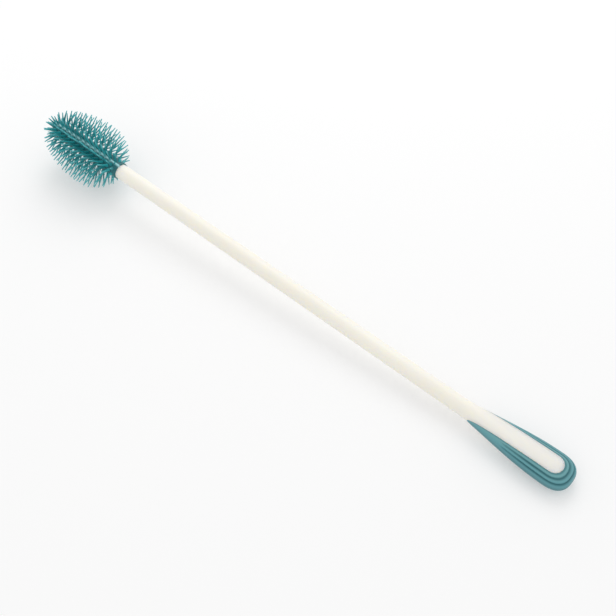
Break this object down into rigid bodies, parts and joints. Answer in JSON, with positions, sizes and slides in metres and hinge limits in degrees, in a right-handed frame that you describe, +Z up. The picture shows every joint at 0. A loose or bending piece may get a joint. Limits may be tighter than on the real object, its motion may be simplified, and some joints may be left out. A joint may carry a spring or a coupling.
{
  "type": "bottle brush",
  "caption": "Long-handled bottle brush with an egg-shaped head of soft moulded bristles, a round rod and a ringed soft grip.",
  "frame": {"origin": "middle of the brush's bounding box in plan, on the surface that it lies on (Z = 0)", "axes": "+X along the rod towards the grip, +Z up from the surface, +Y across the brush"},
  "size_m": [0.3694, 0.0408, 0.0404],
  "materials": {
    "handle": "satin",
    "grip_sleeve": "matte",
    "brush_head": "satin"
  },
  "bodies": {
    "root": {"handle": "handle", "grip_sleeve": "grip_sleeve", "brush_head": "brush_head"}
  },
  "joints": []
}
